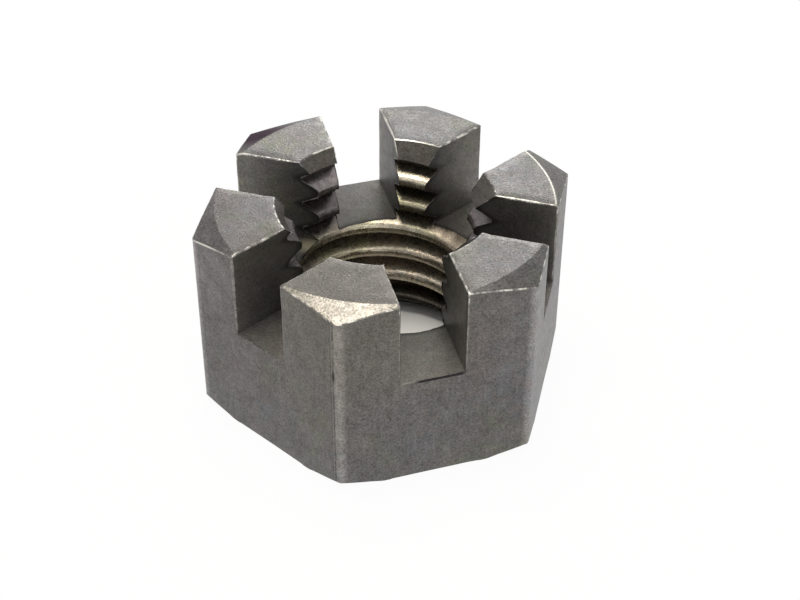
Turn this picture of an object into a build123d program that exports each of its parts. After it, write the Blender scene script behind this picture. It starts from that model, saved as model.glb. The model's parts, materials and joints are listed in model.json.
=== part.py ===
"""Castle nut, M12 coarse, 19 mm across flats.

A hexagonal steel bar is faced and chamfered at both ends, bored to the minor diameter of
its thread, countersunk, and slotted across the top by three passes of a slotting cutter.
The passes leave six posts, the crown, with a notch between each pair for a split pin.

Origin: centre of the bearing face. +Z runs up the bore towards the crown, and two corners
of the hexagon lie on the Y axis. Millimetres and degrees.
"""

import math
import os

from build123d import *

# Bar and overall size
across_flats = 19.0
height = 12.0
corner_radius = 0.5  # softened long edges of the drawn bar

# Metric coarse thread. The bore is cut to its minor diameter.
thread_major = 12.0
thread_pitch = 1.75
thread_minor = thread_major - 1.25 * math.cos(math.radians(30)) * thread_pitch
countersink_clearance = 0.3  # how far the mouth of each countersink clears the major diameter
countersink_angle = 90.0

# Turned ends of the bar
crown_face_inset = 0.04  # the crown's face stops this far inside the flats
crown_chamfer_angle = 18.4
bearing_face_reach = 0.45  # the bearing face runs this far past the flats, into the corners
bearing_chamfer_angle = 25.0

# Crown. The cutter's indexing was a little off, so each pass has a turn of its own against
# the flats that it crosses, and a sideways offset from the bore's axis.
slot_width = 3.6
slot_depth = 5.25
pass_turns = (-2.7, -3.6, -3.4)
pass_offsets = (0.21, 0.22, -0.15)

# Sizes that follow from those above
apothem = across_flats / 2
corner_reach = across_flats / math.sqrt(3)
crown_face_radius = apothem - crown_face_inset
crown_chamfer_drop = (corner_reach - crown_face_radius) * math.tan(math.radians(crown_chamfer_angle))
bearing_face_radius = apothem + bearing_face_reach
bearing_chamfer_rise = (corner_reach - bearing_face_radius) * math.tan(math.radians(bearing_chamfer_angle))
bore_radius = thread_minor / 2
mouth_radius = (thread_major + countersink_clearance) / 2
countersink_depth = (mouth_radius - bore_radius) / math.tan(math.radians(countersink_angle / 2))
slot_floor = height - slot_depth
flat_spacing = 360 / 6  # degrees from one flat to the next


with BuildPart() as castle_nut:
    # The bar: a hexagon with flats square to X, drawn up to the nut's height.
    with BuildSketch(Plane.XY) as bar_section:
        RegularPolygon(radius=apothem, side_count=6, major_radius=False, rotation=30)
        fillet(bar_section.vertices(), radius=corner_radius)
    extrude(amount=height)

    # Both ends turned: a flat face, then a shallow cone that only reaches the corners.
    with BuildSketch(Plane.XZ) as turned_profile:
        with BuildLine():
            Polyline(
                (0, 0),
                (bearing_face_radius, 0),
                (corner_reach, bearing_chamfer_rise),
                (corner_reach, height - crown_chamfer_drop),
                (crown_face_radius, height),
                (0, height),
                close=True,
            )
        make_face()
    revolve(axis=Axis.Z, mode=Mode.INTERSECT)

    # The bore, at the thread's minor diameter, countersunk at both ends.
    with BuildSketch(Plane.XZ) as bore_profile:
        with BuildLine():
            Polyline(
                (0, 0),
                (mouth_radius, 0),
                (bore_radius, countersink_depth),
                (bore_radius, height - countersink_depth),
                (mouth_radius, height),
                (0, height),
                close=True,
            )
        make_face()
    revolve(axis=Axis.Z, mode=Mode.SUBTRACT)

    # The crown: each pass of the cutter crosses the nut from flat to opposite flat.
    for number, (turn, offset) in enumerate(zip(pass_turns, pass_offsets)):
        direction = flat_spacing * (number - 1) + turn
        with BuildSketch(Plane.XY.offset(height)) as slot_plan:
            with Locations(Location((0, 0, 0), (0, 0, direction))):
                with Locations((0, offset)):
                    Rectangle(2 * corner_reach, slot_width)
        extrude(amount=-slot_depth, mode=Mode.SUBTRACT)

castle_nut.part.label = "castle_nut"

os.makedirs("parts", exist_ok=True)
export_step(castle_nut.part, "parts/castle_nut.step")

print("bore radius", round(bore_radius, 4), "countersink depth", round(countersink_depth, 4))
print("slot floor", round(slot_floor, 3), "volume", round(castle_nut.part.volume, 2))
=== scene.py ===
"""Castle nut in bare steel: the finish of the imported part, laid out as a Blender add-on.

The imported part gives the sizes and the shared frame. This file rebuilds the nut around it with
broken edges, wear, burrs and its thread, and adds the floor, the lights and the camera.
Shapes are worked out in millimetres and scaled to metres once they are finished.
"""

import json
import math
from contextlib import contextmanager

import bmesh
import bpy
import numpy as np
from mathutils import Matrix, Vector, noise
from mathutils.geometry import delaunay_2d_cdt


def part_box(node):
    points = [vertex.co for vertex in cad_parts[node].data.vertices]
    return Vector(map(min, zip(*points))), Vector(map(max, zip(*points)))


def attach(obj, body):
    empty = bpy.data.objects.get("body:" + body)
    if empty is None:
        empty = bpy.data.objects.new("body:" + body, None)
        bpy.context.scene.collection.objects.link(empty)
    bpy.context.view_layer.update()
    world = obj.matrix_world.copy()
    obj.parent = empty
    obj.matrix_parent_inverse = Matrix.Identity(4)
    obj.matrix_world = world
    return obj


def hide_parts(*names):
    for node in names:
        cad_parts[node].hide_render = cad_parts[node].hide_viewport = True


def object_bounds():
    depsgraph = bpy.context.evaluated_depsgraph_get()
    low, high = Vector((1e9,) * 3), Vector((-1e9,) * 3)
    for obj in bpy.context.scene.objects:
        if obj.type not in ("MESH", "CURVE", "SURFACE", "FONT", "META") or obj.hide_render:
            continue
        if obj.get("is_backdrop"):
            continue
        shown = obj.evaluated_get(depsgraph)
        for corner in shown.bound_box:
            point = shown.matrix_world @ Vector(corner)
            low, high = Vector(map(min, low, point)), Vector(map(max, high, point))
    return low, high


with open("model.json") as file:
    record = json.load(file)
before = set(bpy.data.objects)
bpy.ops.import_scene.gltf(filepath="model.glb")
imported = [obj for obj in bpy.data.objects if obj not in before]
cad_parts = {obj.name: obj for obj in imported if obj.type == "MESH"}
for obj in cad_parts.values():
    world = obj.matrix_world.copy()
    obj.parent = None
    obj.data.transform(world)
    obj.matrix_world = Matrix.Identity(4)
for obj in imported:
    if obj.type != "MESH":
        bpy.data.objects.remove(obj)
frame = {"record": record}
cad_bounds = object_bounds()

bl_info = {
    "name": "Castle Nut",
    "version": (1, 0, 0),
    "blender": (4, 5, 0),
    "location": "3D View > Sidebar > Castle Nut",
    "description": "Builds a slotted hexagon nut in bare steel round its packed solid",
    "category": "Add Mesh",
}

MM = 0.001
NODE = "castle_nut"
MOUNTS = {mount["name"]: mount for mount in frame["record"]["mounts"]}
NUT_LOW, NUT_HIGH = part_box(NODE)
SLOT_MOUNTS = [mount for name, mount in sorted(MOUNTS.items()) if name.startswith("pin_slots")]

# How each face of the nut was made, in the order of the piece's materials.
DRAWN, FACED, MILLED, BORED, THREADED, BROKEN = range(6)

# Values of the making that are not sizes of the nut. Lengths are in millimetres.
CLEAR = 1.0  # how far the raw bar and the cutters reach past the nut
FACETS = 144  # in one turn of what is turned on the lathe
THREAD_FACETS = 160  # in one turn of the thread
TEARING = 0.05  # unevenness of the thread's cut
SAME_SURFACE = math.radians(12)  # faces of one region that meet flatter than this are one surface
EDGE_STEP = 0.3  # longest run between two points of an outline
FILL_STEP = 0.5  # spacing of the points on open surfaces
SLIVER = 0.003  # points nearer than this after the edges are rounded are one
WELD = 0.002  # points nearer than this after a cut are one
SHARP = math.radians(38)  # edges that turn further than this are not smoothed
UNEVEN = 0.006  # mean depth of the unevenness of open surfaces
WORN = 0.01  # mean depth of the wear along the broken edges
CALM = 0.18  # noise below which an edge has no nick
NICK = 0.16  # depth of a nick for each unit of noise above that
LEAST_BREAK = 0.02  # edges worn back less than this stay sharp
# Widths of some broken edges, as shares of the others: round the bore's mouth, between the flats
# and the chamfers, and outside each slot's floor.
MOUTH_BREAK, RIM_BREAK, FLOOR_BREAK = 0.6, 0.6, 0.4
HALF_CORNER = math.radians(30)  # from the middle of a flat of the hexagon to its corner
FLANK = math.tan(math.radians(30))  # of the thread: run along the axis for each step outwards


# ---------------- sizes and colours


def length(name, description, default):
    return bpy.props.FloatProperty(
        name=name, description=description, default=default, unit="LENGTH", precision=5, min=0.0
    )


def angle(name, description, degrees):
    return bpy.props.FloatProperty(
        name=name, description=description, default=math.radians(degrees), subtype="ANGLE"
    )


def colour(name, description, default):
    return bpy.props.FloatVectorProperty(
        name=name, description=description, default=default, size=3, subtype="COLOR", min=0.0, max=1.0
    )


class NutSizes(bpy.types.PropertyGroup):
    """Sizes of the nut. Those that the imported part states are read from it."""

    across_flats: length("Across flats", "Width over two opposite flats", NUT_HIGH.x - NUT_LOW.x)
    height: length("Height", "Bearing face to the top of the crown", NUT_HIGH.z - NUT_LOW.z)
    corner_radius: length("Corner radius", "Rounding of the drawn bar's long edges", 0.5 * MM)
    crown_face_inset: length("Crown face inset", "From the flats in to the turned face's rim", 0.04 * MM)
    crown_chamfer: angle("Crown chamfer", "Slope of the crown's chamfer", 18.4)
    bearing_face_reach: length("Bearing face reach", "From the flats out to its rim", 0.45 * MM)
    bearing_chamfer: angle("Bearing chamfer", "Slope of the bearing face's chamfer", 25.0)
    bore_radius: length("Bore radius", "At the thread's crests", MOUNTS["thread"]["dims"]["r_mm"] * MM)
    mouth_radius: length("Mouth radius", "Countersink at each end of the bore", 6.15 * MM)
    slot_width: length("Slot width", "Width of each slot", 3.6 * MM)
    slot_depth: length("Slot depth", "From the crown's face down to the slot's floor", 5.25 * MM)
    thread_major: length("Thread diameter", "Over the roots of the thread", 12.0 * MM)
    thread_pitch: length("Thread pitch", "Rise of the thread in one turn", 1.75 * MM)
    thread_start: length("Thread start", "Height of one groove's middle on the +X side", 6.68 * MM)
    crest_break: length("Crest break", "Depth that the corners of the crests are worn back", 0.12 * MM)
    edge_break: length("Edge break", "Width that each sharp edge is worn back", 0.1 * MM)


class NutColours(bpy.types.PropertyGroup):
    """Colours of the steel and of what it stands on."""

    steel: colour("Steel", "Bare steel of the flats", (0.14, 0.137, 0.132))
    floor: colour("Floor", "Floor and backdrop", (0.85, 0.85, 0.84))


# ---------------- node trees


def empty_tree(owner):
    """The node tree of a material or a world, with nothing in it."""
    owner.use_nodes = True
    owner.node_tree.nodes.clear()
    return owner.node_tree


class Tree:
    """A node tree being built. add() makes a node and fills or links its inputs."""

    def __init__(self, tree):
        self.tree = tree

    def add(self, kind, inputs=None, **settings):
        node = self.tree.nodes.new(kind)
        for name, value in settings.items():
            setattr(node, name, value)
        for key, value in (inputs or {}).items():
            if isinstance(value, bpy.types.NodeSocket):
                self.tree.links.new(value, node.inputs[key])
            else:
                node.inputs[key].default_value = value
        return node

    def math(self, operation, *values):
        return self.add("ShaderNodeMath", dict(enumerate(values)), operation=operation).outputs[0]

    def product(self, first, *others):
        for other in others:
            first = self.math("MULTIPLY", first, other)
        return first

    def vector(self, operation, *values):
        return self.add("ShaderNodeVectorMath", dict(enumerate(values)), operation=operation).outputs[0]

    def scaled(self, vector, factor):
        return self.add("ShaderNodeVectorMath", {0: vector, "Scale": factor}, operation="SCALE").outputs[0]

    def distance(self, vector):
        return self.add("ShaderNodeVectorMath", {0: vector}, operation="LENGTH").outputs["Value"]

    def xyz(self, x=0.0, y=0.0, z=0.0):
        return self.add("ShaderNodeCombineXYZ", {0: x, 1: y, 2: z}).outputs[0]

    def spread(self, value, low, high, start, end):
        """start where value is low, end where it is high, and a straight run between."""
        run = self.add("ShaderNodeMapRange", {"Value": value, 1: low, 2: high, 3: start, 4: end})
        return run.outputs[0]


def geometry_group(name, inputs):
    """A Geometry Nodes group that takes geometry, these numbers by name, and a material."""
    group = bpy.data.node_groups.new(name, "GeometryNodeTree")
    face = group.interface
    face.new_socket("Geometry", in_out="INPUT", socket_type="NodeSocketGeometry")
    for label, default in inputs.items():
        kind = "NodeSocketInt" if isinstance(default, int) else "NodeSocketFloat"
        face.new_socket(label, in_out="INPUT", socket_type=kind).default_value = default
    face.new_socket("Material", in_out="INPUT", socket_type="NodeSocketMaterial")
    face.new_socket("Geometry", in_out="OUTPUT", socket_type="NodeSocketGeometry")
    tree = Tree(group)
    return tree, tree.add("NodeGroupInput").outputs


def roughened(tree, geometry, scale, strength):
    """geometry with its points moved by noise of about scale spots a millimetre."""
    spots = tree.add("ShaderNodeTexNoise", {"Scale": scale, "Detail": 2.0})
    shift = tree.vector("SUBTRACT", spots.outputs["Color"], (0.5, 0.5, 0.5))
    offset = tree.scaled(shift, strength)
    return tree.add("GeometryNodeSetPosition", {"Geometry": geometry, "Offset": offset}).outputs[0]


def close_group(tree, geometry, material):
    """Ends a group in Realize Instances and Set Material."""
    real = tree.add("GeometryNodeRealizeInstances", {0: geometry})
    painted = tree.add("GeometryNodeSetMaterial", {"Geometry": real.outputs[0], "Material": material})
    tree.add("NodeGroupOutput", {0: painted.outputs[0]})
    return tree.tree


def grow(obj, group, values):
    """Runs a Geometry Nodes group on obj and keeps the result as its mesh. Inputs that values
    doesn't name keep the group's own."""
    modifier = obj.modifiers.new(group.name, "NODES")
    modifier.node_group = group
    for item in group.interface.items_tree:
        if item.in_out == "INPUT" and item.name in values:
            modifier[item.identifier] = values[item.name]
    return settle(obj)


# ---------------- meshes


def new_object(name, bm=None, materials=()):
    mesh = bpy.data.meshes.new(name)
    if bm is not None:
        bm.to_mesh(mesh)
        bm.free()
    for material in materials:
        mesh.materials.append(material)
    obj = bpy.data.objects.new(name, mesh)
    bpy.context.scene.collection.objects.link(obj)
    return obj


@contextmanager
def editing(obj):
    """The mesh of obj as a BMesh, which is kept in obj when the block ends."""
    bm = bmesh.new()
    bm.from_mesh(obj.data)
    yield bm
    bm.to_mesh(obj.data)
    bm.free()


def settle(obj):
    """Keeps what obj's modifiers make as its own plain mesh."""
    bpy.context.view_layer.update()
    graph = bpy.context.evaluated_depsgraph_get()
    old, obj.data = obj.data, bpy.data.meshes.new_from_object(obj.evaluated_get(graph))
    obj.modifiers.clear()
    obj.data.name = obj.name
    bpy.data.meshes.remove(old)
    return obj


def combine(obj, other, operation):
    """Cuts other from obj, or keeps what they share, and removes other."""
    modifier = obj.modifiers.new(operation, "BOOLEAN")
    modifier.operation = operation
    modifier.solver = "EXACT"
    modifier.object = other
    settle(obj)
    bpy.data.objects.remove(other)
    return obj


def corner_reach(sizes):
    """From the bore's axis to the bar's sharp corners, in millimetres."""
    return sizes.across_flats / 2 / MM / math.cos(HALF_CORNER)


def rims(sizes):
    """Radii of the crown's face and of the bearing face, in millimetres."""
    half = sizes.across_flats / 2 / MM
    return half - sizes.crown_face_inset / MM, half + sizes.bearing_face_reach / MM


def hexagonal_bar(sizes, materials):
    """The drawn bar with sharp corners, two of them on the Y axis, longer than the nut."""
    bm = bmesh.new()
    reach = corner_reach(sizes)
    height = sizes.height / MM
    corners = [math.radians(60 * k - 90) for k in range(6)]
    rings = [
        [bm.verts.new((reach * math.cos(a), reach * math.sin(a), z)) for a in corners]
        for z in (-CLEAR, height + CLEAR)
    ]
    bm.faces.new(reversed(rings[0]))
    bm.faces.new(rings[1])
    for k in range(6):
        j = (k + 1) % 6
        bm.faces.new((rings[0][k], rings[0][j], rings[1][j], rings[1][k]))
    return new_object("bar", bm, materials)


def turned(name, profile, region, materials):
    """A solid of revolution from a profile of (radius, height) that starts and ends on the axis."""
    bm = bmesh.new()
    rows = []
    for radius, z in profile:
        if radius == 0:
            rows.append([bm.verts.new((0, 0, z))] * FACETS)
        else:
            turns = (math.tau * k / FACETS for k in range(FACETS))
            rows.append([bm.verts.new((radius * math.cos(t), radius * math.sin(t), z)) for t in turns])
    for low, high in zip(rows, rows[1:]):
        for k in range(FACETS):
            j = (k + 1) % FACETS
            corners = dict.fromkeys((low[k], low[j], high[j], high[k]))
            bm.faces.new(list(corners)).material_index = region
    bmesh.ops.recalc_face_normals(bm, faces=bm.faces)
    return new_object(name, bm, materials)


def faced_ends(sizes, materials):
    """What turning both ends of the bar leaves: two faces, and a shallow cone outside each."""
    height = sizes.height / MM
    crown, bearing = rims(sizes)
    outer = sizes.across_flats / 2 / MM * 1.25  # past the bar's corners
    profile = [
        (0, 0),
        (bearing, 0),
        (outer, (outer - bearing) * math.tan(sizes.bearing_chamfer)),
        (outer, height - (outer - crown) * math.tan(sizes.crown_chamfer)),
        (crown, height),
        (0, height),
    ]
    return turned("faced_ends", profile, FACED, materials)


def bore_cutter(sizes, materials):
    """The bore at the thread's minor diameter, with a 90 degree countersink at both ends."""
    height, radius, mouth = sizes.height / MM, sizes.bore_radius / MM, sizes.mouth_radius / MM
    depth = mouth - radius
    profile = [
        (0, -CLEAR),
        (mouth + CLEAR, -CLEAR),
        (radius, depth),
        (radius, height - depth),
        (mouth + CLEAR, height + CLEAR),
        (0, height + CLEAR),
    ]
    return turned("bore_cutter", profile, BORED, materials)


def slot_cutters(sizes, materials):
    """Three passes of the slotting cutter, at the places and turns that the part's mounts give."""
    inputs = {
        "Length": 2.5 * sizes.across_flats / MM,
        "Width": sizes.slot_width / MM,
        "Depth": sizes.slot_depth / MM,
    }
    tree, given = geometry_group("Slotting Passes", inputs)
    above = tree.math("ADD", given["Depth"], CLEAR)
    size = tree.xyz(given["Length"], given["Width"], above)
    box = tree.add("GeometryNodeMeshCube", {"Size": size})
    lift = tree.xyz(z=tree.math("SUBTRACT", tree.product(above, 0.5), given["Depth"]))
    low = tree.add("GeometryNodeTransform", {"Geometry": box.outputs[0], "Translation": lift})
    turn = tree.add("GeometryNodeInputNamedAttribute", {"Name": "turn"}, data_type="FLOAT")
    passes = tree.add(
        "GeometryNodeInstanceOnPoints",
        {"Points": given["Geometry"], "Instance": low.outputs[0], "Rotation": tree.xyz(z=turn.outputs[0])},
    )
    group = close_group(tree, passes.outputs[0], given["Material"])

    bm = bmesh.new()
    turns = bm.verts.layers.float.new("turn")
    for mount in SLOT_MOUNTS:
        x, y, _ = (value / MM for value in mount["pos_m"])
        vert = bm.verts.new((x, y, sizes.height / MM))
        vert[turns] = math.atan2(mount["axis"][1], mount["axis"][0])
    return grow_cutter(new_object("slotting_passes", bm), group, {}, MILLED, materials)


def grow_cutter(obj, group, values, region, materials):
    """Grows a cutter from obj, with the nut's materials and every face in one region."""
    grow(obj, group, {**values, "Material": materials[region]})
    obj.data.materials.clear()
    for material in materials:
        obj.data.materials.append(material)
    obj.data.polygons.foreach_set("material_index", [region] * len(obj.data.polygons))
    return obj


def region_corner(edge):
    """True where edge parts two surfaces, False inside one flat or gently curved surface."""
    one, two = edge.link_faces
    if one.material_index != two.material_index:
        return True
    return one.normal.angle(two.normal) > SAME_SURFACE


def shortest(vert):
    """Length of the shortest edge at vert."""
    return min(edge.calc_length() for edge in vert.link_edges)


def merge_surfaces(bm):
    """Leaves one face for each flat or shallow cone, and no crowded points along its outline."""
    bmesh.ops.remove_doubles(bm, verts=bm.verts, dist=WELD / 4)
    inner = [
        edge
        for edge in bm.edges
        if edge.link_faces[0].material_index != BORED and not region_corner(edge)
    ]
    bmesh.ops.dissolve_edges(bm, edges=inner, use_verts=False)
    drop_points(bm, lambda vert: shortest(vert) < EDGE_STEP / 6)


def drop_points(bm, unwanted):
    """Takes out the points along outlines, not at corners, for which unwanted is true."""
    for vert in [vert for vert in bm.verts if len(vert.link_edges) == 2]:
        if unwanted(vert):
            bmesh.ops.dissolve_verts(bm, verts=[vert])


def clear_corners(bm, sizes):
    """Keeps points along outlines away from corners, so that the rounded edges there have room."""
    bar_room, other_room = 0.9 * sizes.corner_radius / MM, 1.7 * sizes.edge_break / MM
    corners = [vert for vert in bm.verts if len(vert.link_edges) > 2]
    bar = [v.co for v in corners if any(is_bar_corner(edge) for edge in v.link_edges)]
    other = [v.co for v in corners if any(f.material_index != BORED for f in v.link_faces)]

    def crowded(vert):
        return any((vert.co - co).length < bar_room for co in bar) or any(
            (vert.co - co).length < other_room for co in other
        )

    drop_points(bm, crowded)


def is_bar_corner(edge):
    """True on the long corners of the drawn bar."""
    return all(face.material_index == DRAWN for face in edge.link_faces)


def space_edges(bm):
    """Puts points along the long edges of every outline, at even distances."""
    for edge in list(bm.edges):
        cuts = math.ceil(edge.calc_length() / EDGE_STEP) - 1
        if cuts > 0 and not all(face.material_index == BORED for face in edge.link_faces):
            bmesh.ops.bisect_edges(bm, edges=[edge], cuts=cuts)


def ripple(point, size, seed=0.0):
    """Smooth noise from about -1 to 1 at a point in millimetres, with bumps of this size."""
    return noise.noise(point / size + Vector((seed, 2 * seed, 3 * seed)))


def chamfer_width(point, sizes):
    """How wide the turned cone is at this turn round the nut, from its rim out to the flat."""
    turn = math.remainder(math.atan2(point.y, point.x), 2 * HALF_CORNER)
    flat = sizes.across_flats / 2 / MM / math.cos(turn)
    crown, bearing = rims(sizes)
    return abs(flat - (crown if point.z > sizes.height / MM / 2 else bearing))


def mark_broken_edges(bm, sizes):
    """Weights each outer edge by how far it is worn back, and returns the width of weight 1. The
    edge of the bore's mouth and the edges that run into it are worn evenly, so that their corners
    don't fold."""
    corner = sizes.corner_radius / MM * math.tan(HALF_CORNER)
    near_mouth = sizes.mouth_radius / MM + 0.55
    weights = bm.edges.layers.float.new("bevel_weight_edge")
    for edge in bm.edges:
        faces = sorted(face.material_index for face in edge.link_faces)
        shallow = faces == [FACED, FACED] or not region_corner(edge)
        mouth = faces == [FACED, BORED] and edge.verts[0].co.z > sizes.height / MM / 2
        inner = BORED in faces and not mouth
        if inner or shallow or not edge.is_convex:
            continue
        if is_bar_corner(edge):
            edge[weights] = 1.0
            continue
        middle = (edge.verts[0].co + edge.verts[1].co) / 2
        even = mouth or (faces == [FACED, MILLED] and math.hypot(middle.x, middle.y) < near_mouth)
        worn = sizes.edge_break / MM * (MOUTH_BREAK if even else 1 + 0.45 * ripple(middle, 1.3))
        if faces == [DRAWN, FACED]:
            room = (0.3 * chamfer_width(vert.co, sizes) for vert in edge.verts)
            worn = min(RIM_BREAK * worn, *room)
        level = abs(edge.verts[0].co.z - edge.verts[1].co.z) < 0.01
        if faces == [DRAWN, MILLED] and level:
            worn *= FLOOR_BREAK
        edge[weights] = worn / corner if worn > LEAST_BREAK else 0.0
    return corner


def beyond_flats(face, sizes):
    """True on the rounded long corners of the bar, which were drawn with it and not worn later."""
    centre = face.calc_center_median()
    upright = abs(face.normal.z) < 0.1
    return upright and math.hypot(centre.x, centre.y) > sizes.across_flats / 2 / MM + 0.9


def break_edges(obj, sizes):
    """Rounds the bar's long corners and wears every other outer edge back a little."""
    with editing(obj) as bm:
        merge_surfaces(bm)
        space_edges(bm)
        clear_corners(bm, sizes)
        width = mark_broken_edges(bm, sizes)
    modifier = obj.modifiers.new("broken_edges", "BEVEL")
    modifier.limit_method = "WEIGHT"
    modifier.width = width
    modifier.segments = 4
    modifier.material = BROKEN
    modifier.use_clamp_overlap = False
    return settle(obj)


def patch_points(outline):
    """Points of a jittered grid inside a flat outline, not too near to it."""
    low, high = outline.min(0), outline.max(0)
    xs, ys = (np.arange(low[i] + FILL_STEP / 2, high[i], FILL_STEP) for i in range(2))
    grid = np.array([(x, y) for x in xs for y in ys]).reshape(-1, 2)
    shake = np.array([noise.noise_vector(Vector((x, y, 0.5)) * 7.3)[:2] for x, y in grid]).reshape(-1, 2)
    grid = grid + 0.35 * FILL_STEP * shake
    start, run = outline, np.roll(outline, -1, 0) - outline
    away = grid[:, None] - start[None]
    along = np.clip((away * run).sum(2) / (run * run).sum(1), 0, 1)
    gap = np.linalg.norm(away - along[..., None] * run, axis=2).min(1)
    with np.errstate(divide="ignore", invalid="ignore"):
        crossing = start[:, 0] + (grid[:, 1:] - start[:, 1]) / run[:, 1] * run[:, 0]
    above = (start[:, 1] > grid[:, 1:]) != (np.roll(start[:, 1], -1) > grid[:, 1:])
    inside = (above & (grid[:, :1] < crossing)).sum(1) % 2 == 1
    return grid[inside & (gap > 0.4 * FILL_STEP)]


def cone_height(place, normal, sizes):
    """Height of the turned end over this place: its flat face, or the cone outside its rim."""
    crown, bearing = rims(sizes)
    radius = math.hypot(place.x, place.y)
    if normal.z > 0:
        return sizes.height / MM - max(0, radius - crown) * math.tan(sizes.crown_chamfer)
    return max(0, radius - bearing) * math.tan(sizes.bearing_chamfer)


def fill_surfaces(bm, sizes):
    """Rebuilds each large face as small triangles, on its plane or on the turned end it belongs to."""
    for face in [face for face in bm.faces if len(face.verts) > 6]:
        verts, normal, region = list(face.verts), face.normal.copy(), face.material_index
        side = normal.orthogonal().normalized()
        axes = Matrix.Identity(3) if region == FACED else Matrix((side, normal.cross(side), normal))
        centre = face.calc_center_median()
        outline = np.array([(axes @ (vert.co - centre))[:2] for vert in verts])
        points = [Vector(point) for point in patch_points(outline)]
        loop = list(range(len(verts)))
        made, _, triangles, source, _, _ = delaunay_2d_cdt(
            [Vector(point) for point in outline] + points, [], [loop], 1, 1e-6
        )
        found = []
        for point, ids in zip(made, source):
            if ids and ids[0] < len(verts):
                found.append(verts[ids[0]])
                continue
            place = centre + axes.transposed() @ Vector((*point, 0))
            if region == FACED:
                place.z = cone_height(place, normal, sizes)
            found.append(bm.verts.new(place))
        bm.faces.remove(face)
        for triangle in triangles:
            new = bm.faces.new([found[k] for k in triangle])
            new.material_index = region
            new.normal_update()
            if new.normal.dot(normal) < 0:
                new.normal_flip()


def wear(bm, sizes):
    """Dents the broken edges and leaves the open surfaces a little uneven, always inwards. The
    bore and the edges of its mouth stay as they were cut, and the front and rear corners stay
    within the bar's rounding."""
    height, mouth = sizes.height / MM, sizes.mouth_radius / MM + 0.35
    reach = corner_reach(sizes) - sizes.corner_radius / MM * (1 / math.cos(HALF_CORNER) - 1)
    bm.normal_update()
    shifts = []
    for vert in bm.verts:
        regions = {face.material_index for face in vert.link_faces}
        depth = 0.0
        if regions & {DRAWN, FACED, MILLED}:
            depth = UNEVEN * (1 + ripple(vert.co, 1.7))
        if regions == {BROKEN}:
            nick = max(0.0, ripple(vert.co, 0.42, 5.0) - CALM)
            depth = min(WORN * (1 + ripple(vert.co, 0.9)) + NICK * nick, 0.3 * shortest(vert))
        if BORED in regions or math.hypot(vert.co.x, vert.co.y) < mouth:
            depth = 0.0
        shifts.append(vert.normal * depth)
    for vert, shift in zip(bm.verts, shifts):
        vert.co.y = max(-reach, min(reach, vert.co.y))
        vert.co -= shift
        vert.co.z = min(vert.co.z, height)


def root_half_width(sizes):
    """Half the flat at the bottom of the thread's groove, which is an eighth of the pitch wide."""
    return sizes.thread_pitch / MM / 16


def thread_group():
    """A trapezoid swept along a right-handed helix. Flank is the slope of its sides to a level plane."""
    inputs = {
        "Root Radius": 6.0,
        "Root Half Width": 0.11,
        "Depth": 1.1,
        "Flank": FLANK,
        "Pitch": 1.75,
        "Turns": 9.0,
        "Steps Per Turn": THREAD_FACETS,
        "Tearing": TEARING,
    }
    tree, given = geometry_group("Thread Groove", inputs)
    helix = tree.add(
        "GeometryNodeCurveSpiral",
        {
            "Resolution": given["Steps Per Turn"],
            "Rotations": given["Turns"],
            "Start Radius": given["Root Radius"],
            "End Radius": given["Root Radius"],
            "Height": tree.product(given["Pitch"], given["Turns"]),
            "Reverse": True,
        },
    )
    level = tree.add("GeometryNodeSetCurveNormal", {"Curve": helix.outputs[0]}, mode="Z_UP")
    root = given["Root Half Width"]
    opening = tree.math("ADD", root, tree.product(given["Depth"], given["Flank"]))
    inward = tree.product(given["Depth"], -1.0)
    trapezoid = tree.add(
        "GeometryNodeCurvePrimitiveQuadrilateral",
        {
            "Point 1": tree.xyz(0.0, root),
            "Point 2": tree.xyz(inward, opening),
            "Point 3": tree.xyz(inward, tree.product(opening, -1.0)),
            "Point 4": tree.xyz(0.0, tree.product(root, -1.0)),
        },
        mode="POINTS",
    )
    fine = tree.add("GeometryNodeSubdivideCurve", {"Curve": trapezoid.outputs[0], "Cuts": 2})
    groove = tree.add(
        "GeometryNodeCurveToMesh",
        {"Curve": level.outputs[0], "Profile Curve": fine.outputs[0], "Fill Caps": True},
    )
    torn = roughened(tree, groove.outputs[0], 1.6, given["Tearing"])
    return close_group(tree, torn, given["Material"])


def thread_cutters(sizes, materials):
    """The thread's groove, then a shallow pass a little lower, which takes the upper corner off
    its crests as a loaded screw does."""
    start, pitch = sizes.thread_start / MM, sizes.thread_pitch / MM
    bore, major = sizes.bore_radius / MM, sizes.thread_major / 2 / MM
    below = math.ceil(start / pitch + 1)
    turns = math.ceil((sizes.height / MM - start) / pitch + below + 1)
    worn = sizes.crest_break / MM
    root = root_half_width(sizes)
    lower = 0.15  # how far below the groove the second pass runs
    beside = root + (major - bore - worn) * FLANK - lower - 0.01
    # Name, radius and half width of its outer side, slope, reach into the bore, and drop.
    cuts = (
        ("thread_groove", major, root, FLANK, 0.2, 0.0),
        ("crest_break", bore + worn, beside, math.tan(math.radians(58)), 0.05, lower),
    )
    group = thread_group()
    for name, radius, half_width, slope, over, drop in cuts:
        values = {
            "Root Radius": radius,
            "Root Half Width": half_width,
            "Depth": radius - bore + over,
            "Flank": slope,
            "Pitch": pitch,
            "Turns": float(turns),
        }
        cutter = grow_cutter(new_object(name), group, values, THREADED, materials)
        cutter.data.transform(Matrix.Translation((0, 0, start - below * pitch - drop)))
        yield cutter


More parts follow.
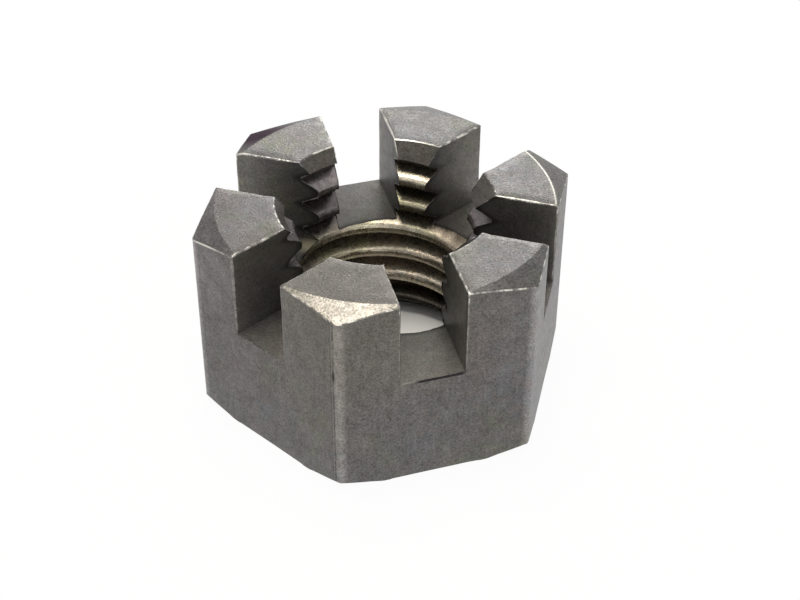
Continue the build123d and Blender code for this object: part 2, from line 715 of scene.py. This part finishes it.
def cut_nut(sizes, materials):
    """The finished nut in millimetres, in the order of its real making."""
    nut = hexagonal_bar(sizes, materials)
    combine(nut, faced_ends(sizes, materials), "INTERSECT")
    combine(nut, bore_cutter(sizes, materials), "DIFFERENCE")
    combine(nut, slot_cutters(sizes, materials), "DIFFERENCE")
    break_edges(nut, sizes)
    with editing(nut) as bm:
        for face in bm.faces:
            if face.material_index == BROKEN and beyond_flats(face, sizes):
                face.material_index = DRAWN
        bmesh.ops.remove_doubles(bm, verts=bm.verts, dist=SLIVER)
        bmesh.ops.dissolve_degenerate(bm, edges=bm.edges, dist=SLIVER)
        fill_surfaces(bm, sizes)
        wear(bm, sizes)
    for cutter in thread_cutters(sizes, materials):
        combine(nut, cutter, "DIFFERENCE")
    with editing(nut) as bm:
        bmesh.ops.remove_doubles(bm, verts=bm.verts, dist=WELD)
        bmesh.ops.triangulate(bm, faces=[face for face in bm.faces if len(face.verts) > 4])
        # What is left upright of the bore's wall is the thread's crests.
        for face in bm.faces:
            if face.material_index == BORED and abs(face.normal.z) < 0.2:
                face.material_index = THREADED
    return nut


def finish_piece(obj, name):
    """Scales a piece from millimetres to metres and smooths it between its sharp edges."""
    obj.name = obj.data.name = name
    obj.data.transform(Matrix.Scale(MM, 4))
    with editing(obj) as bm:
        for edge in bm.edges:
            both_faced = all(face.material_index == FACED for face in edge.link_faces)
            edge.smooth = edge.calc_face_angle(0.0) < (SAME_SURFACE if both_faced else SHARP)
        for face in bm.faces:
            face.smooth = True
    modifier = obj.modifiers.new("flat_faces_stay_flat", "WEIGHTED_NORMAL")
    modifier.keep_sharp = True
    return settle(obj)


def burr_lines(nut):
    """The sharp edges where the slots and the crown's face cut into the bore, as bare lines in mm."""
    bm, lines = bmesh.new(), bmesh.new()
    bm.from_mesh(nut.data)
    for edge in bm.edges:
        regions = {face.material_index for face in edge.link_faces}
        upper = edge.verts[0].co.z > NUT_HIGH.z / 2
        if upper and regions & {BORED, THREADED} and regions & {MILLED, FACED}:
            lines.edges.new([lines.verts.new(vert.co / MM) for vert in edge.verts])
    bm.free()
    bmesh.ops.remove_doubles(lines, verts=lines.verts, dist=WELD)
    return new_object("burr_lines", lines)


def burr_group():
    """Follows lines with a thin ragged bead of metal."""
    tree, given = geometry_group("Burrs", {"Thickness": 0.03, "Raggedness": 0.05, "Spacing": 0.12})
    line = tree.add("GeometryNodeMeshToCurve", {"Mesh": given["Geometry"]})
    even = tree.add(
        "GeometryNodeResampleCurve", {"Curve": line.outputs[0], "Length": given["Spacing"]}, mode="LENGTH"
    )
    swell = tree.add("ShaderNodeTexNoise", {"Scale": 1.1, "Detail": 2.0}).outputs[0]
    section = tree.add("GeometryNodeCurvePrimitiveCircle", {"Resolution": 5, "Radius": given["Thickness"]})
    bead = tree.add(
        "GeometryNodeCurveToMesh",
        {
            "Curve": even.outputs[0],
            "Profile Curve": section.outputs[0],
            "Scale": tree.spread(swell, 0.38, 0.68, 0.25, 1.5),
            "Fill Caps": True,
        },
    )
    ragged = roughened(tree, bead.outputs[0], 5.0, given["Raggedness"])
    return close_group(tree, ragged, given["Material"])


# ---------------- materials


BARE_AND_SHEEN = (0.62, 0.6, 0.54, 1.0)  # steel rubbed bright, also used as a painted highlight on the right rear rim
CREAM = (0.22, 0.2, 0.14, 1.0)  # bright cream, painted on one corner of the left slot
SHADED_THREAD = (0.14, 0.125, 0.122, 1.0)  # the thread painted dull and dark, a painted shaded copy for the posts
PURPLE = (0.04, 0.031, 0.036, 1.0)  # stain on the left rear chamfer
PAINTED_SHADOW = (0.012, 0.007, 0.011, 1.0)  # painted shadow along the front right slot's lip


class Finish(Tree):
    """A material's tree, with the noise and the masks that the nut's finishes share. mm is the
    place on the nut in millimetres, and film tints what the steel mirrors at a low angle."""

    def __init__(self, material):
        super().__init__(empty_tree(material))
        self.mm = self.scaled(self.add("ShaderNodeTexCoord").outputs["Object"], 1 / MM)
        self.film = (1.0, 1.0, 1.0, 1.0)

    def speckle(self, scale, detail, offset=0.0, stretch=(1.0, 1.0, 1.0)):
        """Noise of about scale spots a millimetre. offset picks another part of the noise."""
        place = self.vector("MULTIPLY_ADD", self.mm, stretch, (offset, offset, offset))
        return self.add(
            "ShaderNodeTexNoise", {"Vector": place, "Scale": scale, "Detail": detail, "Roughness": 0.6}
        ).outputs[0]

    def blend(self, factor, one, two, kind="MIX"):
        mix = self.add("ShaderNodeMix", data_type="RGBA", blend_type=kind)
        for socket, value in ((mix.inputs[0], factor), (mix.inputs[6], one), (mix.inputs[7], two)):
            if isinstance(value, bpy.types.NodeSocket):
                self.tree.links.new(value, socket)
            else:
                socket.default_value = value
        return mix.outputs[2]

    def shade(self, base, level):
        """base, made lighter or darker by level."""
        grey = self.add("ShaderNodeCombineColor", {0: level, 1: level, 2: level}).outputs[0]
        return self.blend(1.0, base, grey, "MULTIPLY")

    def radius(self):
        """Distance from the bore's axis, in millimetres."""
        return self.distance(self.vector("MULTIPLY", self.mm, (1.0, 1.0, 0.0)))

    def height(self):
        """Height above the bearing face, in millimetres."""
        return self.add("ShaderNodeSeparateXYZ", {0: self.mm}).outputs["Z"]

    def near(self, point, reach, stretch=(1.0, 1.0, 1.0)):
        """1 at a point in millimetres, falling to 0 at reach from it. stretch 0 makes it a line."""
        centre = tuple(-p * k for p, k in zip(point, stretch))
        away = self.vector("MULTIPLY_ADD", self.mm, stretch, centre)
        return self.spread(self.distance(away), 0.3 * reach, reach, 1.0, 0.0)

    def from_thread(self, sizes):
        """How far a place is outside the thread's groove at its height and turn, in millimetres."""
        pitch, major = sizes.thread_pitch / MM, sizes.thread_major / 2 / MM
        place = self.add("ShaderNodeSeparateXYZ", {0: self.mm}).outputs
        turn = self.math("DIVIDE", self.math("ARCTAN2", place["Y"], place["X"]), math.tau)
        rise = self.math("SUBTRACT", place["Z"], sizes.thread_start / MM)
        turns = self.math("SUBTRACT", self.math("DIVIDE", rise, pitch), turn)
        off = self.math("PINGPONG", turns, 0.5)
        shallower = self.math("MULTIPLY_ADD", off, pitch / FLANK, -root_half_width(sizes) / FLANK)
        edge = self.math("MAXIMUM", self.math("SUBTRACT", major, shallower), sizes.bore_radius / MM)
        return self.math("SUBTRACT", self.radius(), edge)

    def tone(self, base, tones):
        """base, made lighter or darker round some points in millimetres. Each tone gives the
        point, how far it reaches and its level there."""
        for point, reach, level in tones:
            here = self.near(point, reach)
            base = self.shade(base, self.math("MULTIPLY_ADD", here, level - 1.0, 1.0))
        return base


def plain(finish, base):
    return base


def lip_shadow_line(finish, base):
    """A dark line of painted shadow runs along the front right slot's outer lip, next to its right wall."""
    along = finish.spread(finish.near((4.95, -8.15, 0.0), 2.0, (1.0, 1.0, 0.0)), 0.35, 0.6, 0.0, 1.0)
    below = finish.math("ABSOLUTE", finish.math("SUBTRACT", finish.height(), 6.7))
    line = finish.product(along, finish.spread(below, 0.07, 0.13, 0.9, 0.0))
    return finish.blend(line, base, PAINTED_SHADOW)


def drawn_marks(finish, base):
    """The bar's long corners are rubbed bright, the front one has draw lines and a pit, and the front right
    slot's lip gets its line of painted shadow.
    """
    base = finish.tone(base, (((-8.2, -4.7, 10.5), 4.0, 1.3), ((9.0, -3.5, 9.0), 5.0, 1.1)))
    rubbed_and_sheen = finish.spread(finish.radius(), 10.72, 10.9, 1.0, 1.9)
    base = lip_shadow_line(finish, finish.shade(base, rubbed_and_sheen))
    for point, reach, depth in (((-0.27, -10.83, 0), 0.08, 0.6), ((-0.42, -10.73, 0), 0.06, 0.25)):
        line = finish.near(point, reach, (1.0, 1.0, 0.0))
        broken = finish.spread(finish.speckle(0.6, 3.0, point[1]), 0.35, 0.5, 0.3, 1.0)
        cut = finish.product(line, broken, depth)
        base = finish.shade(base, finish.math("SUBTRACT", 1.0, cut))
    pit = finish.near((-0.27, -10.83, 8.0), 0.16, (1.0, 1.0, 0.35))
    return finish.shade(base, finish.spread(pit, 0.0, 1.0, 1.0, 0.35))


def turned_marks(finish, base):
    """The front chamfer is painted lighter, a painted highlight, and the chamfers beside it darker, painted
    shade. The posts' faces differ in tone, with a purple stain on the left rear chamfer, and the face's rim
    is rubbed bright at the right rear, also a painted highlight."""
    outside = finish.spread(finish.radius(), 9.42, 9.5, 0.0, 1.0)
    # painted highlight on the front chamfer, painted shade on the two beside it
    chamfers = (
        ((0.0, -10.0, 11.6), 4.0, 1.2),
        ((9.2, -5.3, 11.6), 4.0, 0.8),
        ((-9.2, -5.3, 11.6), 4.0, 0.8),
    )
    faces = (
        ((0.0, -8.0, 12.0), 4.5, 0.82),
        ((0.0, 8.0, 12.0), 4.5, 0.88),
        ((-7.0, 4.0, 12.0), 4.5, 1.1),
        ((-7.0, -4.0, 12.0), 4.5, 1.07),
    )
    base = finish.blend(outside, finish.tone(base, faces), finish.tone(base, chamfers))
    stain = finish.product(finish.near((-9.2, 5.3, 11.7), 3.2), outside)
    base = finish.blend(stain, base, PURPLE)
    finish.film = finish.blend(stain, finish.film, (0.54, 0.48, 0.53, 1.0))
    away = finish.math("ABSOLUTE", finish.math("SUBTRACT", finish.radius(), 9.45))
    rim = finish.spread(away, 0.02, 0.09, 1.0, 0.0)
    # the rubbed rim, painted bright as a highlight too
    rubbed_and_sheen = finish.product(rim, finish.near((8.2, 4.7, 12.0), 6.0), 0.8)
    return finish.blend(rubbed_and_sheen, base, BARE_AND_SHEEN)


def cream_patch(finish, base):
    """The inner corner of the left slot's floor, under the left rear post, is painted bright cream."""
    return finish.blend(finish.near((-5.05, 1.7, 6.65), 0.9), base, CREAM)


def slot_marks(finish, base):
    """Painted shade and light in the slots: darker where they run into the thread and towards the bore,
    lighter further out, some walls and floors lighter or darker place by place, and one corner painted
    cream.
    """
    # painted light and shade, place by place
    tones = (
        ((7.5, 1.8, 9.5), 4.0, 0.62),
        ((3.0, 8.0, 9.0), 4.0, 1.5),
        ((-7.5, 1.8, 9.5), 5.0, 1.3),
        ((-5.0, 7.8, 6.6), 3.5, 0.82),
        ((-6.4, -6.6, 11.0), 4.0, 0.85),
    )
    base = finish.tone(base, tones)
    # painted shade along the edge into the thread and towards the bore
    reach = finish.spread(finish.height(), 6.8, 7.0, 0.25, 0.6)
    darkest = finish.spread(finish.height(), 6.8, 7.0, 0.35, 0.25)
    bore_edge_shade = finish.spread(finish.from_thread(bpy.context.scene.nut_sizes), 0.08, reach, darkest, 1.0)
    outward = finish.spread(finish.radius(), 5.4, 9.0, 0.5, 1.18)
    return cream_patch(finish, finish.shade(base, finish.product(bore_edge_shade, outward)))


def countersink_marks(finish, base):
    """The rear post's countersink is painted darker, as painted shade."""
    return finish.tone(base, (((0.0, 5.6, 11.4), 4.0, 0.8),))


def thread_marks(finish, base):
    """Painted light and shade on the thread: its lowest turn is painted almost black as painted shade, and
    it is darker in its roots. On the posts the rear post's thread is a lit copy, with painted highlights on
    its flanks by the crests and darker crest faces, roots and lower part, and the others' thread is a
    painted shaded copy, dull and dark."""
    radius, height = finish.radius(), finish.height()
    roots = finish.spread(radius, 5.2, 5.6, 1.0, 0.55)
    # painted shade: the lowest turn almost black
    lowest_shade = finish.spread(height, 1.6, 2.0, 0.1, 1.0)
    base = finish.shade(base, finish.product(roots, lowest_shade))
    # the rear post's thread is a lit copy with painted highlights by the crests, the others' a painted
    # shaded copy
    rear = finish.near((0.0, 5.6, 0.0), 4.0, (1.0, 1.0, 0.0))
    lands = finish.spread(radius, 5.07, 5.11, 0.35, 1.0)
    deep = finish.spread(radius, 5.42, 5.55, 1.6, 0.5)
    upper = finish.spread(height, 8.7, 9.0, 0.6, 1.0)
    lit_copy = finish.shade(base, finish.product(lands, deep, upper))
    uneven = finish.spread(finish.speckle(3.0, 3.0), 0.4, 0.6, 0.75, 1.1)
    # the painted shaded copy, painted lighter on the left rear post's upper flank
    shaded_copy = finish.tone(finish.shade(SHADED_THREAD, uneven), (((-4.5, 3.5, 10.6), 1.6, 1.8),))
    crown = finish.spread(height, 6.6, 7.2, 0.0, 1.0)
    return cream_patch(finish, finish.blend(crown, base, finish.blend(rear, shaded_copy, lit_copy)))


def worn_marks(finish, base):
    """Bare metal shows in patches along the crown's edges. Painted shade darkens the worn edges low in the
    slots and near the bore, and the front right slot's lip gets its line of painted shadow.
    """
    height = finish.height()
    # painted shade: darker low in the slots and near the bore
    base = finish.shade(base, finish.spread(height, 6.9, 7.4, 0.6, 1.0))
    base = finish.shade(base, finish.spread(finish.radius(), 5.9, 6.4, 0.3, 1.0))
    patches = finish.spread(finish.speckle(2.0, 4.0, 21.0), 0.47, 0.6, 0.0, 1.0)
    for point, reach in (((-1.5, 6.0, 12.0), 3.5), ((-8.6, -5.9, 11.5), 1.6)):
        patches = finish.math("MAXIMUM", patches, finish.near(point, reach))
    crown = finish.spread(height, 11.2, 11.5, 0.12, 0.9)
    base = finish.blend(finish.product(patches, crown), base, BARE_AND_SHEEN)
    return lip_shadow_line(finish, base)


def times(tint, *factors):
    """tint with each channel multiplied by its factor, or all three by one."""
    return tuple(c * k for c, k in zip(tint, factors * (3 // len(factors))))


def mottled(finish, tint):
    """tint with red, yellow, blue and pink patches, and with tarnish: yellow round the front
    post, purple on the right rear flat and at the left."""
    base = (*tint, 1.0)
    patches = (
        (0.24, 0.0, (1.06, 0.96, 0.97)),
        (0.3, 31.0, (1.0, 1.03, 0.88)),
        (0.2, 57.0, (0.99, 0.99, 1.04)),
        (1.4, 83.0, (1.04, 0.97, 0.97)),
    )
    for scale, offset, shift in patches:
        share = finish.spread(finish.speckle(scale, 2.0, offset), 0.48, 0.62, 0.0, 1.0)
        base = finish.blend(share, base, (*times(tint, *shift), 1.0))
    tarnish = (
        ((0.0, -10.0, 11.0), 10.0, 0.7, (1.07, 1.0, 0.88)),
        ((9.6, 3.0, 6.0), 7.0, 0.8, (1.02, 0.95, 1.0)),
        ((-9.4, -5.0, 9.0), 5.0, 0.8, (1.02, 0.95, 1.0)),
    )
    for point, reach, share, shift in tarnish:
        here = finish.product(finish.near(point, reach), share)
        base = finish.blend(here, base, (*times(tint, *shift), 1.0))
    return base


def clouded(finish):
    """Level of the steel in clouds, smaller blots and dark specks."""
    cloud = finish.spread(finish.speckle(0.9, 4.0, 11.0), 0.3, 0.7, 0.86, 1.14)
    blots = finish.spread(finish.speckle(2.4, 3.0, 37.0), 0.35, 0.65, 0.93, 1.07)
    specks = finish.spread(finish.speckle(4.2, 1.0, 43.0), 0.63, 0.7, 1.0, 0.8)
    return finish.product(cloud, blots, specks)


def steel(name, tint, shine, marks, metal=0.9, tooth=1.0, extra=plain):
    """Bare steel. tint is its colour and shine its roughness. marks stretches its tool marks,
    tooth is the strength of its fine speckle, and extra adds what only this finish has."""
    material = bpy.data.materials.new(name)
    finish = Finish(material)
    fine = finish.spread(finish.speckle(9.0, 2.0, 3.0), 0.3, 0.66, 1 - 0.36 * tooth, 1 + 0.22 * tooth)
    grain = finish.speckle(1.0, 4.0, 0.0, marks)
    streaks = finish.spread(grain, 0.3, 0.7, 0.92, 1.08)
    level = finish.product(clouded(finish), fine, streaks)
    base = extra(finish, finish.shade(mottled(finish, tint), level))
    rough = finish.spread(finish.speckle(2.3, 4.0, 7.0), 0.3, 0.7, shine - 0.07, shine + 0.08)
    pits = finish.math("MULTIPLY_ADD", fine, 0.8, finish.product(grain, 0.5))
    bump = finish.add("ShaderNodeBump", {"Strength": 0.5, "Distance": 0.014 * MM, "Height": pits})
    surface = finish.add(
        "ShaderNodeBsdfPrincipled",
        {
            "Base Color": base,
            "Roughness": rough,
            "Metallic": metal,
            "Specular Tint": finish.film,
            "Normal": bump.outputs[0],
        },
    )
    finish.add("ShaderNodeOutputMaterial", {"Surface": surface.outputs[0]})
    return material


def nut_materials(colours):
    """The nut's materials, in the order of its regions."""
    drawn = tuple(colours.steel)
    slots, sinks = times(drawn, 0.73, 0.72, 0.68), times(drawn, 0.56, 0.53, 0.48)
    even, across, along = (4.0, 4.0, 4.0), (1.0, 1.0, 6.0), (5.0, 5.0, 0.5)
    return [
        steel("drawn_flats", drawn, 0.42, along, extra=drawn_marks),
        steel("turned_ends", times(drawn, 1.03), 0.3, even, tooth=1.3, extra=turned_marks),
        steel("milled_slots", slots, 0.46, across, metal=0.45, extra=slot_marks),
        steel("countersinks", sinks, 0.34, even, extra=countersink_marks),
        steel("oiled_thread", times(drawn, 2.6, 2.4, 1.9), 0.28, across, extra=thread_marks),
        steel("worn_edges", times(drawn, 1.35), 0.32, even, extra=worn_marks),
    ]


def white_to_camera(tree):
    """1 for rays from the camera and for those that metal or glass sends on, 0 for plain light."""
    path = tree.add("ShaderNodeLightPath").outputs
    seen = tree.math("MAXIMUM", path["Is Camera Ray"], path["Is Glossy Ray"])
    return tree.math("MAXIMUM", seen, path["Is Transmission Ray"])


def floor_material(tint, bore, rim):
    """A pale floor that keeps shadows and is seen as plain white outside the nut. bore and rim
    are the radii between which it changes from the shade inside the nut to that white."""
    material = bpy.data.materials.new("pale_floor")
    tree = Tree(empty_tree(material))
    radius = tree.distance(tree.add("ShaderNodeTexCoord").outputs["Object"])
    glow = tree.spread(radius, bore, rim, 0.0, 0.95)
    matt = tree.add("ShaderNodeBsdfDiffuse", {"Color": (*tint, 1.0)}).outputs[0]
    white = tree.add("ShaderNodeEmission", {"Color": (1, 1, 1, 1), "Strength": 1.0}).outputs[0]
    share = tree.product(white_to_camera(tree), glow)
    mixed = tree.add("ShaderNodeMixShader", {0: share, 1: matt, 2: white})
    tree.add("ShaderNodeOutputMaterial", {"Surface": mixed.outputs[0]})
    return material


# ---------------- operators


class CASTLE_NUT_OT_nut(bpy.types.Operator):
    """Cuts the nut from its bar and gives it its steel"""

    bl_idname = "castle_nut.add_nut"
    bl_label = "Castle nut"

    def execute(self, context):
        sizes = context.scene.nut_sizes
        materials = nut_materials(context.scene.nut_colours)
        nut = finish_piece(cut_nut(sizes, materials), "nut_body")
        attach(nut, "root")
        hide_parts(NODE)
        return {"FINISHED"}


class CASTLE_NUT_OT_burrs(bpy.types.Operator):
    """Adds the burrs that slotting left where each slot runs into the bore"""

    bl_idname = "castle_nut.add_burrs"
    bl_label = "Burrs"

    def execute(self, context):
        nut = bpy.data.objects["nut_body"]
        material = nut.data.materials[BROKEN]
        burrs = grow(burr_lines(nut), burr_group(), {"Material": material})
        for vert in burrs.data.vertices:
            vert.co.z = min(vert.co.z, context.scene.nut_sizes.height / MM)
        finish_piece(burrs, "bore_burrs")
        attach(burrs, "root")
        return {"FINISHED"}


# Each studio light: name, turn from straight behind and rise in degrees, distance and width in
# metres, power in watts, and colour.
SOFTBOXES = (
    ("overhead_softbox", -62.0, 82.0, 0.25, 0.15, 0.41, (1.0, 0.96, 0.87)),
    ("rear_softbox", -9.0, 25.0, 0.30, 0.12, 0.115, (1.0, 1.0, 0.98)),
    ("front_softbox", 140.0, 35.0, 0.40, 0.25, 0.2, (1.0, 1.0, 1.0)),
)


def area_light(name, place, aim, size, power, tint):
    light = bpy.data.lights.new(name, "AREA")
    light.shape = "DISK"
    light.size = size
    light.energy = power
    light.color = tint
    obj = bpy.data.objects.new(name, light)
    obj.location = place
    obj.rotation_euler = (Vector(aim) - Vector(place)).to_track_quat("-Z", "Y").to_euler()
    bpy.context.scene.collection.objects.link(obj)


def add_camera():
    """A camera above the front corner, a little to its right. It looks at a point on the bore's
    axis, from a distance and with small shifts in millimetres, and its angles are in radians."""
    camera = bpy.data.objects.new("camera", bpy.data.cameras.new("camera"))
    turn, rise, roll = 0.2185, 0.6632, 0.0053
    away, right, down = 93.75, 0.839, 0.880
    back = Vector(
        (math.sin(turn) * math.cos(rise), -math.cos(turn) * math.cos(rise), math.sin(rise))
    )
    level = Vector((math.cos(turn), math.sin(turn), 0))
    up = back.cross(level)
    across = level * math.cos(roll) + up * math.sin(roll)
    upward = up * math.cos(roll) - level * math.sin(roll)
    target = Vector((0, 0, 5.98))
    place = (target + away * back + right * across - down * upward) * MM
    axes = Matrix((across, upward, back)).transposed().to_4x4()
    camera.matrix_world = Matrix.Translation(place) @ axes
    camera.data.lens = 73.155
    camera.data.sensor_width = 36.0
    camera.data.clip_start = 0.01
    camera.data.clip_end = 5.0
    bpy.context.scene.collection.objects.link(camera)
    bpy.context.scene.camera = camera


class CASTLE_NUT_OT_stage(bpy.types.Operator):
    """Adds the floor, the studio lights, the white surroundings and the camera"""

    bl_idname = "castle_nut.add_stage"
    bl_label = "Stage"

    def execute(self, context):
        sizes, colours = context.scene.nut_sizes, context.scene.nut_colours
        bm = bmesh.new()
        bmesh.ops.create_grid(bm, x_segments=1, y_segments=1, size=1.0)
        material = floor_material(colours.floor, sizes.mouth_radius, sizes.across_flats / 2)
        floor = new_object("floor", bm, [material])
        floor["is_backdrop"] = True
        centre = Vector((0, 0, 0.01))
        for name, turn, rise, away, size, power, tint in SOFTBOXES:
            turn, rise = math.radians(turn), math.radians(rise)
            aim = Vector((math.sin(turn) * math.cos(rise), math.cos(turn) * math.cos(rise), math.sin(rise)))
            area_light(name, centre + away * aim, centre, size, power, tint)
        world = bpy.data.worlds.new("surroundings")
        context.scene.world = world
        tree = Tree(empty_tree(world))
        level = tree.spread(white_to_camera(tree), 0.0, 1.0, 0.6, 1.0)
        sky = tree.add("ShaderNodeBackground", {"Color": (1, 1, 1, 1), "Strength": level})
        tree.add("ShaderNodeOutputWorld", {"Surface": sky.outputs[0]})
        context.scene.view_settings.view_transform = "Standard"
        add_camera()
        return {"FINISHED"}


class CASTLE_NUT_PT_panel(bpy.types.Panel):
    """Sizes, colours and pieces of the castle nut"""

    bl_idname = "CASTLE_NUT_PT_panel"
    bl_label = "Castle Nut"
    bl_space_type = "VIEW_3D"
    bl_region_type = "UI"
    bl_category = "Castle Nut"

    def draw(self, context):
        for group in (context.scene.nut_sizes, context.scene.nut_colours):
            for name in type(group).__annotations__:
                self.layout.prop(group, name)
        for operator in OPERATORS:
            self.layout.operator(operator.bl_idname)


OPERATORS = (CASTLE_NUT_OT_nut, CASTLE_NUT_OT_burrs, CASTLE_NUT_OT_stage)
CLASSES = (NutSizes, NutColours, *OPERATORS, CASTLE_NUT_PT_panel)


def register():
    for cls in CLASSES:
        bpy.utils.register_class(cls)
    bpy.types.Scene.nut_sizes = bpy.props.PointerProperty(type=NutSizes)
    bpy.types.Scene.nut_colours = bpy.props.PointerProperty(type=NutColours)


def unregister():
    del bpy.types.Scene.nut_colours
    del bpy.types.Scene.nut_sizes
    for cls in reversed(CLASSES):
        bpy.utils.unregister_class(cls)


def main():
    register()
    bpy.ops.castle_nut.add_nut()
    bpy.ops.castle_nut.add_burrs()
    bpy.ops.castle_nut.add_stage()
    sizes = {
        name: [[round(value, 7) for value in corner] for corner in box]
        for name, box in (("cad", cad_bounds), ("visual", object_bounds()))
    }


if __name__ == "__main__":
    main()
